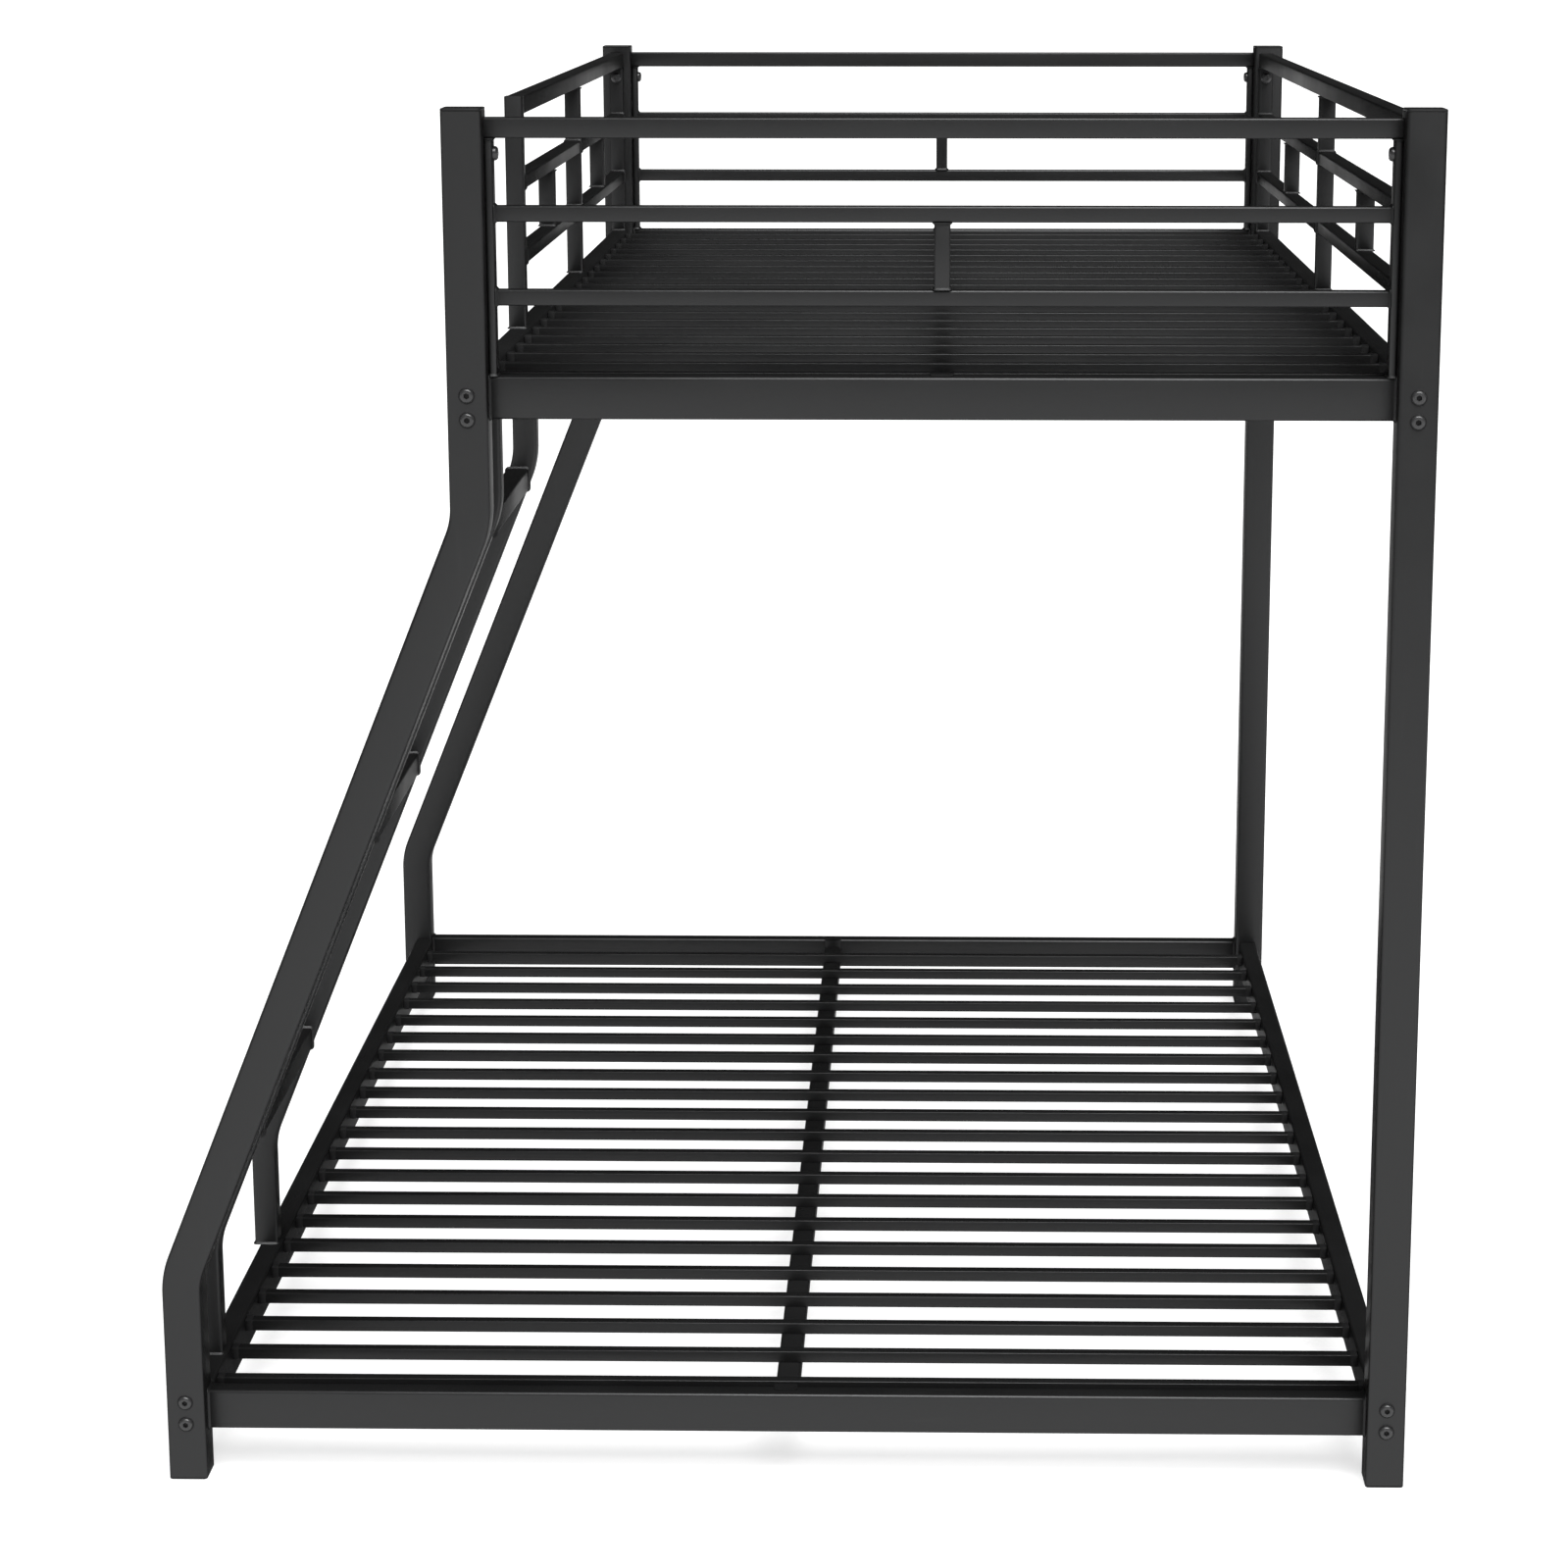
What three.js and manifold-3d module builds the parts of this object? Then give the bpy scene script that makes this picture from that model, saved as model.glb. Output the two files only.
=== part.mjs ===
// A twin-over-full bunk bed of black steel tube, with a ladder built into its sloping side.
// Millimetres, +Z up. The bed's length runs along Y, and the origin is on the floor under its middle.
// The two end frames stand at -Y (near) and +Y (far). The straight posts are at +X (right). The bent
// posts, which lean in from the wide lower bed to the narrow upper one, and the ladder are at -X (left).
// Both end frames are alike, so each is built once, from its own -Y face.
import * as THREE from "three";
import { mergeVertices } from "three/addons/utils/BufferGeometryUtils.js";
import Module from "manifold-3d";

// Overall sizes.
const BED_LENGTH = 1905; // clear between the end frames' posts, a 75 inch mattress
const LOWER_WIDTH = 1372; // clear between the lower posts, a 54 inch mattress
const UPPER_WIDTH = 1010; // clear between the upper posts, a 39 inch mattress
const POST_HEIGHT = 1609; // floor to the top of a post cap
const GAP = 0.3; // clearance between pieces that touch
const CORNER_STEPS = 1; // three.js draws twice as many straight pieces in each round tube corner

// Posts, their caps and feet.
const POST = 45; // square tube
const POST_RADIUS = 4;
const POST_WALL = 1.2;
const CAP_THICKNESS = 3;
const FOOT_THICKNESS = 2;
const PLUG_DEPTH = 18; // how far a cap or a foot reaches into its tube
const LOWER_BEND_Z = 252; // where a bent post starts to lean
const UPPER_BEND_DROP = 165.5; // from the upper deck down to where it stands straight again
const BEND_RADIUS = 100; // of the centre line
const BEND_STEPS = 5;

// Crossbars, which join the two posts of an end frame.
const CROSSBAR_HEIGHT = 48;
const CROSSBAR_DEPTH = 25;
const LOWER_DECK_Z = 104; // top of the lower crossbars and slats
const GUARD_HEIGHT = 296.5; // from the upper deck to the top of the posts
const BAR_RADIUS = 3;
const BAR_WALL = 1;

// Side rails, which run from one end frame to the other.
const RAIL_HEIGHT = 48;
const RAIL_WIDTH = 28;
const LOWER_RAIL_RISE = 3.5; // of a lower rail's top above its deck
const RIGHT_INSET = 11.5; // of a right rail, from the outer face of the right posts
const LOWER_LEFT_INSET = 20; // of a left rail, from the outer face of the left posts
const UPPER_LEFT_INSET = 11;

// Slats, and the bar that carries them at mid-width.
const SLAT_COUNT = 21;
const SLAT_HEIGHT = 14;
const SLAT_WIDTH = 15;
const SLAT_WALL = 0.8;
const SLAT_RADIUS = 1.5;
const FIRST_SLAT = 22.5; // from the near posts' inner face to the first slat's centre
const SUPPORT_WIDTH = 28;
const SUPPORT_HEIGHT = 25;
const WELD = 0.4; // how far a welded piece sinks into the other

// Ladder.
const STILE_WIDTH = 30; // across the bed
const STILE_DEPTH = 30; // along the bed
const STILE_WALL = 1.2;
const STILE_INSET = 13.5; // from the outer face of the left posts
const NEAR_STILE = 122; // from the near end of the bed to the near stile
const LADDER_WIDTH = 404; // over both stiles
const RUNG_COUNT = 3;
const FIRST_RUNG_Z = 391; // its centre
const LAST_RUNG_DROP = 188.5; // from the upper deck down to the last rung's centre
const RUNG_HEIGHT = 28;
const RUNG_WIDTH = 28;

// Guard rails.
const TOP_RAIL_SIZE = 22.5; // square
const TOP_RAIL_DROP = 11; // from the top of the posts down to the top of that rail
const THIN_RAIL_SIZE = 18; // square tube of the other guard rails
const MID_RAIL_DROP = 96.5; // from the top of the top rail down to the top of the next one
const LOW_RAIL_DROP = 189;
const GUARD_WALL = 1;
const GUARD_RADIUS = 2.5;
const END_UPRIGHT_WIDTH = 9; // of the bars bolted to the posts
const SIDE_TUBE_WIDTH = 22; // of a side guard's tubes, across the bed
const RIGHT_GUARD_INSET = 27; // from the outer face of the posts to a side guard's centre line
const LEFT_GUARD_INSET = 22.5;
const GATE_UPRIGHT = 25; // the upright over the ladder's far stile

// Places worked out from the sizes.
const HALF_LENGTH = BED_LENGTH / 2 + POST;
const RIGHT = LOWER_WIDTH / 2 + POST; // outer face of the right posts
const RIGHT_INNER = RIGHT - POST;
const LEFT = -RIGHT; // outer face of the left posts, below
const LEFT_INNER = LEFT + POST;
const UPPER_LEFT_INNER = RIGHT_INNER - UPPER_WIDTH;
const UPPER_LEFT = UPPER_LEFT_INNER - POST;
const LEAN = UPPER_LEFT - LEFT; // how far a bent post moves in
const INNER_LENGTH = BED_LENGTH / 2;
const CROSSBAR_SETBACK = POST - CROSSBAR_DEPTH; // a crossbar is flush with the +Y face of its posts
const UPPER_DECK_Z = POST_HEIGHT - GUARD_HEIGHT;
const UPPER_BEND_Z = UPPER_DECK_Z - UPPER_BEND_DROP;
const LOWER_RAIL_Z = LOWER_DECK_Z + LOWER_RAIL_RISE;
const TOP_RAIL_Z = POST_HEIGHT - TOP_RAIL_DROP;
const MID_RAIL_Z = TOP_RAIL_Z - MID_RAIL_DROP;
const LOW_RAIL_Z = TOP_RAIL_Z - LOW_RAIL_DROP;
const END_FACES = { near: -HALF_LENGTH, far: INNER_LENGTH }; // -Y face of each end frame

const wasm = await Module();
wasm.setup();

const steel = new THREE.MeshStandardMaterial({ color: 0x232426, roughness: 0.5, metalness: 0.35 });
const plastic = new THREE.MeshStandardMaterial({ color: 0x161617, roughness: 0.7, metalness: 0 });

const bed = new THREE.Group();

function place(name, geometry, material) {
  const mesh = new THREE.Mesh(geometry, material);
  mesh.name = name;
  bed.add(mesh);
  return mesh;
}

function solid(geometry) {
  const bare = geometry.clone();
  bare.deleteAttribute("normal");
  bare.deleteAttribute("uv");
  const merged = mergeVertices(bare, 1e-4);
  return new wasm.Manifold(
    new wasm.Mesh({
      numProp: 3,
      vertProperties: merged.attributes.position.array,
      triVerts: new Uint32Array(merged.index.array),
    }),
  );
}

function geometryOf(manifold) {
  const mesh = manifold.getMesh();
  const geometry = new THREE.BufferGeometry();
  geometry.setAttribute("position", new THREE.BufferAttribute(mesh.vertProperties, 3));
  geometry.setIndex(new THREE.BufferAttribute(mesh.triVerts, 1));
  return geometry;
}

// A rectangle with round corners, centred on the origin.
function roundedRectangle(path, width, height, radius) {
  const x = width / 2;
  const y = height / 2;
  path.moveTo(-x + radius, -y);
  path.absarc(x - radius, -y + radius, radius, -Math.PI / 2, 0);
  path.absarc(x - radius, y - radius, radius, 0, Math.PI / 2);
  path.absarc(-x + radius, y - radius, radius, Math.PI / 2, Math.PI);
  path.absarc(-x + radius, -y + radius, radius, Math.PI, Math.PI * 1.5);
  path.closePath();
  return path;
}

// The section of a tube, with a square-cornered bore; a wall of 0 makes a solid bar.
function tubeSection(width, height, radius, wall) {
  const shape = roundedRectangle(new THREE.Shape(), width, height, radius);
  if (wall > 0) {
    const x = width / 2 - wall;
    const y = height / 2 - wall;
    const bore = new THREE.Path();
    bore.moveTo(-x, -y).lineTo(-x, y).lineTo(x, y).lineTo(x, -y).closePath();
    shape.holes.push(bore);
  }
  return shape;
}

// A straight tube that fills a box and runs along one axis of it. Local X, Y and Z turn to the two
// axes that follow the run's axis, and to the run itself.
function tubeGeometry(run, box, radius, wall) {
  const [p, q] = { x: ["y", "z"], y: ["z", "x"], z: ["x", "y"] }[run];
  const size = box.getSize(new THREE.Vector3());
  const section = tubeSection(size[p], size[q], radius, wall);
  const geometry = new THREE.ExtrudeGeometry(section, {
    depth: size[run],
    bevelEnabled: false,
    curveSegments: CORNER_STEPS,
  });
  geometry.translate(0, 0, -size[run] / 2);
  const axis = (name) => new THREE.Vector3().setComponent("xyz".indexOf(name), 1);
  geometry.applyMatrix4(new THREE.Matrix4().makeBasis(axis(p), axis(q), axis(run)));
  const centre = box.getCenter(new THREE.Vector3());
  geometry.translate(centre.x, centre.y, centre.z);
  return geometry;
}

function box(x0, x1, y0, y1, z0, z1) {
  return new THREE.Box3(new THREE.Vector3(x0, y0, z0), new THREE.Vector3(x1, y1, z1));
}

// A bent tube's centre line in the XZ plane, met at its own stations and nowhere else.
class StationPath extends THREE.Curve {
  constructor(stations) {
    super();
    this.stations = stations;
  }

  nearest(t) {
    return this.stations[Math.round(t * (this.stations.length - 1))];
  }

  getPointAt(t, target = new THREE.Vector3()) {
    return target.copy(this.nearest(t).point);
  }

  getTangentAt(t, target = new THREE.Vector3()) {
    return target.copy(this.nearest(t).tangent);
  }
}

// Stations of a line that rises at x, leans over by `lean` between two heights, and rises again.
function leaningStations(x, y, bottom, top, radius) {
  const angle = Math.atan2(LEAN, UPPER_BEND_Z - LOWER_BEND_Z);
  const setback = radius * Math.tan(angle / 2);
  const stations = [];
  const add = (px, pz, turn) => {
    stations.push({
      point: new THREE.Vector3(px, y, pz),
      tangent: new THREE.Vector3(Math.sin(turn), 0, Math.cos(turn)),
    });
  };
  add(x, bottom, 0);
  for (let i = 0; i <= BEND_STEPS; i += 1) {
    const turn = (angle * i) / BEND_STEPS;
    const dx = radius * (1 - Math.cos(turn));
    add(x + dx, LOWER_BEND_Z - setback + radius * Math.sin(turn), turn);
  }
  for (let i = BEND_STEPS; i >= 0; i -= 1) {
    const turn = (angle * i) / BEND_STEPS;
    const dx = radius * (1 - Math.cos(turn));
    add(x + LEAN - dx, UPPER_BEND_Z + setback - radius * Math.sin(turn), turn);
  }
  add(x + LEAN, top, 0);
  return stations;
}

// A bent tube: `width` lies across the bed and `depth` along it.
function bentTube(centreX, y0, y1, bottom, top, width, radius, wall) {
  const path = new StationPath(
    leaningStations(centreX, (y0 + y1) / 2, bottom, top, BEND_RADIUS),
  );
  const section = tubeSection(y1 - y0, width, radius, wall);
  return new THREE.ExtrudeGeometry(section, {
    steps: path.stations.length - 1,
    extrudePath: path,
    curveSegments: CORNER_STEPS,
  });
}

// The heights between which a post's tube runs, with its cap above and its foot below.
const TUBE_BOTTOM = FOOT_THICKNESS + GAP;
const TUBE_TOP = POST_HEIGHT - CAP_THICKNESS - GAP;

function straightPost(name, y) {
  const shape = box(RIGHT_INNER, RIGHT, y, y + POST, TUBE_BOTTOM, TUBE_TOP);
  place(name, tubeGeometry("z", shape, POST_RADIUS, POST_WALL), steel);
}

function bentPost(name, y) {
  const centreX = LEFT + POST / 2;
  const tube = bentTube(centreX, y, y + POST, TUBE_BOTTOM, TUBE_TOP, POST, POST_RADIUS, POST_WALL);
  place(name, tube, steel);
}

// A cap or a foot: a flange as wide as the post and a plug that fits inside its tube.
function tubePlug(name, x, y, flangeBottom, flangeTop, up) {
  const flange = tubeGeometry(
    "z",
    box(x, x + POST, y, y + POST, flangeBottom, flangeTop),
    POST_RADIUS,
    0,
  );
  const inset = POST_WALL + GAP;
  const from = up ? flangeTop - WELD : flangeBottom - PLUG_DEPTH;
  const to = up ? flangeTop + PLUG_DEPTH : flangeBottom + WELD;
  const plug = tubeGeometry(
    "z",
    box(x + inset, x + POST - inset, y + inset, y + POST - inset, from, to),
    Math.max(POST_RADIUS - inset, 0.5),
    0,
  );
  place(name, geometryOf(solid(flange).add(solid(plug))), plastic);
}

function cap(name, x, y) {
  tubePlug(name, x, y, POST_HEIGHT - CAP_THICKNESS, POST_HEIGHT, false);
}

function foot(name, x, y) {
  tubePlug(name, x, y, 0, FOOT_THICKNESS, true);
}

function crossbar(name, left, y, top) {
  const front = y + CROSSBAR_SETBACK;
  const shape = box(
    left + GAP,
    RIGHT_INNER - GAP,
    front,
    front + CROSSBAR_DEPTH,
    top - CROSSBAR_HEIGHT,
    top,
  );
  place(name, tubeGeometry("x", shape, BAR_RADIUS, BAR_WALL), steel);
}

const RAIL_END = INNER_LENGTH - GAP;
const RIGHT_RAIL_X = RIGHT - RIGHT_INSET - RAIL_WIDTH;
const LOWER_LEFT_RAIL_X = LEFT + LOWER_LEFT_INSET;
const UPPER_LEFT_RAIL_X = UPPER_LEFT + UPPER_LEFT_INSET;

// A side rail, from the inner faces of the near posts to those of the far posts.
function sideRail(name, x, top) {
  const shape = box(x, x + RAIL_WIDTH, -RAIL_END, RAIL_END, top - RAIL_HEIGHT, top);
  place(name, tubeGeometry("y", shape, BAR_RADIUS, BAR_WALL), steel);
}

// The slats of one deck, welded to the bar beneath them, which runs at `middle`.
function slatDeck(name, left, right, middle, top) {
  const nearEnd = -HALF_LENGTH + CROSSBAR_SETBACK + CROSSBAR_DEPTH + GAP;
  const farEnd = INNER_LENGTH + CROSSBAR_SETBACK - GAP;
  const supportTop = top - SLAT_HEIGHT + WELD;
  const support = box(
    middle - SUPPORT_WIDTH / 2,
    middle + SUPPORT_WIDTH / 2,
    nearEnd,
    farEnd,
    supportTop - SUPPORT_HEIGHT,
    supportTop,
  );
  let deck = solid(tubeGeometry("y", support, BAR_RADIUS, BAR_WALL));
  const spacing = BED_LENGTH / SLAT_COUNT;
  for (let i = 0; i < SLAT_COUNT; i += 1) {
    const centre = -INNER_LENGTH + FIRST_SLAT + i * spacing;
    const slat = box(
      left + GAP,
      right - GAP,
      centre - SLAT_WIDTH / 2,
      centre + SLAT_WIDTH / 2,
      top - SLAT_HEIGHT,
      top,
    );
    deck = deck.add(solid(tubeGeometry("x", slat, SLAT_RADIUS, SLAT_WALL)));
  }
  place(name, geometryOf(deck), steel);
}

const STILE_BOTTOM = LOWER_RAIL_Z + GAP;
const STILE_TOP = UPPER_DECK_Z - RAIL_HEIGHT - GAP;
const STILE_CENTRE = LEFT + STILE_INSET + STILE_WIDTH / 2;
const NEAR_STILE_Y = -HALF_LENGTH + NEAR_STILE;
const FAR_STILE_Y = NEAR_STILE_Y + LADDER_WIDTH - STILE_DEPTH;

function stile(name, y) {
  const tube = bentTube(
    STILE_CENTRE,
    y,
    y + STILE_DEPTH,
    STILE_BOTTOM,
    STILE_TOP,
    STILE_WIDTH,
    BAR_RADIUS,
    STILE_WALL,
  );
  place(name, tube, steel);
}

// Where the ladder's centre line is at a height.
function stileCentreAt(z) {
  const share = (z - LOWER_BEND_Z) / (UPPER_BEND_Z - LOWER_BEND_Z);
  return STILE_CENTRE + LEAN * Math.min(Math.max(share, 0), 1);
}

function rung(name, z) {
  const x = stileCentreAt(z);
  const shape = box(
    x - RUNG_WIDTH / 2,
    x + RUNG_WIDTH / 2,
    NEAR_STILE_Y + STILE_DEPTH + GAP,
    FAR_STILE_Y - GAP,
    z - RUNG_HEIGHT / 2,
    z + RUNG_HEIGHT / 2,
  );
  place(name, tubeGeometry("y", shape, BAR_RADIUS, BAR_WALL), steel);
}

function endGuard(end) {
  const y = END_FACES[end] + CROSSBAR_SETBACK;
  const middleY = y + CROSSBAR_DEPTH / 2;
  const across = (name, x0, x1, size, top) => {
    const shape = box(x0, x1, middleY - size / 2, middleY + size / 2, top - size, top);
    place(`guard_${end}_${name}`, tubeGeometry("x", shape, GUARD_RADIUS, GUARD_WALL), steel);
  };
  const upright = (name, x, width, depth, z0, z1) => {
    const shape = box(x, x + width, middleY - depth / 2, middleY + depth / 2, z0 + GAP, z1 - GAP);
    place(`guard_${end}_${name}`, tubeGeometry("z", shape, GUARD_RADIUS, GUARD_WALL), steel);
  };
  const left = UPPER_LEFT_INNER + GAP;
  const right = RIGHT_INNER - GAP;
  const inLeft = left + END_UPRIGHT_WIDTH + GAP;
  const inRight = right - END_UPRIGHT_WIDTH - GAP;
  const topUnder = TOP_RAIL_Z - TOP_RAIL_SIZE;
  const middle = (left + right - THIN_RAIL_SIZE) / 2;
  across("top_rail", left, right, TOP_RAIL_SIZE, TOP_RAIL_Z);
  across("mid_rail", inLeft, inRight, THIN_RAIL_SIZE, MID_RAIL_Z);
  across("low_rail", inLeft, inRight, THIN_RAIL_SIZE, LOW_RAIL_Z);
  upright("left_upright", left, END_UPRIGHT_WIDTH, TOP_RAIL_SIZE, UPPER_DECK_Z, topUnder);
  upright(
    "right_upright",
    right - END_UPRIGHT_WIDTH,
    END_UPRIGHT_WIDTH,
    TOP_RAIL_SIZE,
    UPPER_DECK_Z,
    topUnder,
  );
  const midUnder = MID_RAIL_Z - THIN_RAIL_SIZE;
  upright("centre_upright", middle, THIN_RAIL_SIZE, THIN_RAIL_SIZE, LOW_RAIL_Z, midUnder);
}

// A guard along one side, from `start` to the far posts. A full-height upright stands at its middle
// and short ones at its quarters. With a gate, its first upright is a wide one beside the ladder.
function sideGuard(side, centreX, start, gate) {
  const halfWidth = SIDE_TUBE_WIDTH / 2;
  const tube = (name, run, y0, y1, z0, z1) => {
    const shape = box(centreX - halfWidth, centreX + halfWidth, y0, y1, z0, z1);
    place(`guard_${side}_${name}`, tubeGeometry(run, shape, GUARD_RADIUS, GUARD_WALL), steel);
  };
  const end = INNER_LENGTH - GAP;
  const topUnder = TOP_RAIL_Z - TOP_RAIL_SIZE;
  const midUnder = MID_RAIL_Z - THIN_RAIL_SIZE;
  const lowUnder = LOW_RAIL_Z - THIN_RAIL_SIZE;
  const foot = UPPER_DECK_Z + GAP;
  const firstName = gate ? "gate_upright" : "near_upright";
  const firstWidth = gate ? GATE_UPRIGHT : END_UPRIGHT_WIDTH;
  const firstTop = gate ? TOP_RAIL_Z : topUnder - GAP;
  const railStart = start + firstWidth + GAP;
  const railEnd = end - END_UPRIGHT_WIDTH - GAP;
  const middle = (railStart + railEnd) / 2;
  const half = THIN_RAIL_SIZE / 2;

  tube(firstName, "z", start, start + firstWidth, foot, firstTop);
  tube("far_upright", "z", end - END_UPRIGHT_WIDTH, end, foot, topUnder - GAP);
  tube("top_rail", "y", gate ? railStart : start, end, topUnder, TOP_RAIL_Z);
  tube("middle_upright", "z", middle - half, middle + half, foot, topUnder - GAP);
  const bays = { near: [railStart, middle - half - GAP], far: [middle + half + GAP, railEnd] };
  for (const [bay, [y0, y1]] of Object.entries(bays)) {
    tube(`mid_rail_${bay}`, "y", y0, y1, midUnder, MID_RAIL_Z);
    tube(`low_rail_${bay}`, "y", y0, y1, lowUnder, LOW_RAIL_Z);
    const y = (y0 + y1) / 2;
    tube(`short_upright_${bay}`, "z", y - half, y + half, LOW_RAIL_Z + GAP, midUnder - GAP);
  }
}

for (const [end, y] of Object.entries(END_FACES)) {
  straightPost(`post_${end}_right`, y);
  bentPost(`post_${end}_left`, y);
  cap(`cap_${end}_right`, RIGHT_INNER, y);
  cap(`cap_${end}_left`, UPPER_LEFT, y);
  foot(`foot_${end}_right`, RIGHT_INNER, y);
  foot(`foot_${end}_left`, LEFT, y);
  crossbar(`crossbar_${end}_lower`, LEFT_INNER, y, LOWER_DECK_Z);
  crossbar(`crossbar_${end}_upper`, UPPER_LEFT_INNER, y, UPPER_DECK_Z);
  endGuard(end);
}

sideRail("rail_lower_right", RIGHT_RAIL_X, LOWER_RAIL_Z);
sideRail("rail_lower_left", LOWER_LEFT_RAIL_X, LOWER_RAIL_Z);
sideRail("rail_upper_right", RIGHT_RAIL_X, UPPER_DECK_Z);
sideRail("rail_upper_left", UPPER_LEFT_RAIL_X, UPPER_DECK_Z);
slatDeck(
  "slats_lower",
  LOWER_LEFT_RAIL_X + RAIL_WIDTH,
  RIGHT_RAIL_X,
  (LEFT_INNER + RIGHT_INNER) / 2,
  LOWER_DECK_Z,
);
slatDeck(
  "slats_upper",
  UPPER_LEFT_RAIL_X + RAIL_WIDTH,
  RIGHT_RAIL_X,
  (UPPER_LEFT_INNER + RIGHT_INNER) / 2,
  UPPER_DECK_Z,
);

stile("ladder_stile_near", NEAR_STILE_Y);
stile("ladder_stile_far", FAR_STILE_Y);
const RUNG_SPACING = (UPPER_DECK_Z - LAST_RUNG_DROP - FIRST_RUNG_Z) / (RUNG_COUNT - 1);
for (let i = 0; i < RUNG_COUNT; i += 1) {
  rung(`ladder_rung_${i + 1}`, FIRST_RUNG_Z + i * RUNG_SPACING);
}

sideGuard("right", RIGHT - RIGHT_GUARD_INSET, -INNER_LENGTH + GAP, false);
const GATE_START = FAR_STILE_Y + (STILE_DEPTH - GATE_UPRIGHT) / 2;
sideGuard("left", UPPER_LEFT + LEFT_GUARD_INSET, GATE_START, true);

export default bed;
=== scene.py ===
"""Looks of the steel bunk bed: an add-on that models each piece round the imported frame.

Metres, +Z up. The straight posts stand at +X (right), the bent posts and the ladder at -X (left).
"""

import math

import bpy
from mathutils import Matrix, Vector


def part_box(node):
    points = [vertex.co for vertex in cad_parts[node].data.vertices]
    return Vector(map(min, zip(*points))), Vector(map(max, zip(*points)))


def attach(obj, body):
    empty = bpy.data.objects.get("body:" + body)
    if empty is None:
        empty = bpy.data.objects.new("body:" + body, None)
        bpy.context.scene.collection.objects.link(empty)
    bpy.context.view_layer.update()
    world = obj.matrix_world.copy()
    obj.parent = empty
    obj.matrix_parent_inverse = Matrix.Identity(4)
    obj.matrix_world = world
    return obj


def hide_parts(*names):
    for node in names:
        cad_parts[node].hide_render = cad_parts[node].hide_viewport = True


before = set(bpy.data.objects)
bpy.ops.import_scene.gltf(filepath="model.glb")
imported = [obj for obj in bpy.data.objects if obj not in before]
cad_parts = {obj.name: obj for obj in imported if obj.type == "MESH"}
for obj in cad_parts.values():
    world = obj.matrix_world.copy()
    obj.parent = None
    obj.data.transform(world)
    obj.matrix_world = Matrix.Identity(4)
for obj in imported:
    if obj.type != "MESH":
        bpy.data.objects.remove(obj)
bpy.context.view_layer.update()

bl_info = {
    "name": "Steel bunk bed",
    "version": (1, 0, 0),
    "blender": (4, 5, 0),
    "location": "3D View > Sidebar > Bunk bed",
    "description": "Models the tubes, slats, ladder, guards and bolts of a steel bunk bed",
    "category": "Object",
}

ENDS = ("near", "far")
SIDES = ("right", "left")
DECKS = ("lower", "upper")
AXES = {"x": 0, "y": 1, "z": 2}
MM = 0.001

TUBE_END_EASE = 0.35 * MM
SEAM_SINK = 0.3 * MM
CAP_FLANGE = 3 * MM
CAP_EASE = 1.3 * MM
FOOT_FLANGE = 2 * MM
FOOT_EASE = 0.8 * MM
STEM_INSET = 2 * MM
STEM_CORNER = 2.5 * MM
SLAT_PLUG_WALL = 0.7 * MM
SLAT_PLUG_RISE = 0.3 * MM
SLAT_PLUG_CORNER = 1.1 * MM
HOOK_REACH = 13 * MM
HOOK_PLATE = 2 * MM
HOOK_CORNER = 2 * MM
HOOK_LAP = 1 * MM
CHEEK_INSET = 0.5 * MM
CHEEK_START = 0.3 * MM
CHEEK_END = 2.5 * MM
CHEEK_FALL = 8 * MM
CHEEK_CORNER = 0.6 * MM
SOCKET_DEPTH = 3 * MM
# Height of a thin black ring under each bolt head: painted shade standing in for the shadow round the head.
SHADE_RING_PROUD = 0.7 * MM

FLOOR_SIZE = 160
FLOOR_GAP = 0.2 * MM
WHITE_GLOW = 1.3
SUN_PLACE = (0, -1, 5)
SUN_TILT = (26, 10)
SUN_SPREAD = 50
SUN_STRENGTH = 6.2
CAMERA_PLACE = (0.178, -4.988, 1.8135)
CAMERA_PITCH = 12.2
CAMERA_YAW = 0.97
LENS = 83.1
SENSOR = 36
SHIFT = (-0.06, -0.054)


# ---------------------------------------------------------------- sizes and colours


class TubeSizes(bpy.types.PropertyGroup):
    """Round corners of the tubes, and the bends of the posts and stiles."""

    post_corner: bpy.props.FloatProperty(
        name="Post corner", description="Radius of a post's corners",
        default=4.5 * MM, unit="LENGTH",
    )
    bar_corner: bpy.props.FloatProperty(
        name="Bar corner", description="Radius of a rail's or crossbar's corners",
        default=3.5 * MM, unit="LENGTH",
    )
    guard_corner: bpy.props.FloatProperty(
        name="Guard corner", description="Radius of a guard tube's corners",
        default=2.6 * MM, unit="LENGTH",
    )
    corner_steps: bpy.props.IntProperty(
        name="Corner steps", description="Faces round each corner",
        default=5, min=1,
    )
    lower_bend: bpy.props.FloatProperty(
        name="Lower bend", description="Height where the bent posts start to lean",
        default=0.252, unit="LENGTH",
    )
    upper_bend: bpy.props.FloatProperty(
        name="Upper bend", description="Height where they stand straight again",
        default=1.147, unit="LENGTH",
    )
    bend_radius: bpy.props.FloatProperty(
        name="Bend radius", description="Radius of a bend's centre line",
        default=0.1, unit="LENGTH",
    )
    bend_steps: bpy.props.IntProperty(
        name="Bend steps", description="Faces along each bend",
        default=12, min=2,
    )
    stile_width: bpy.props.FloatProperty(
        name="Stile width", description="Width of a ladder stile, across the bed",
        default=30 * MM, unit="LENGTH",
    )
    seam: bpy.props.FloatProperty(
        name="Weld seam", description="Reach of a weld seam",
        default=2.2 * MM, unit="LENGTH",
    )


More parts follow.
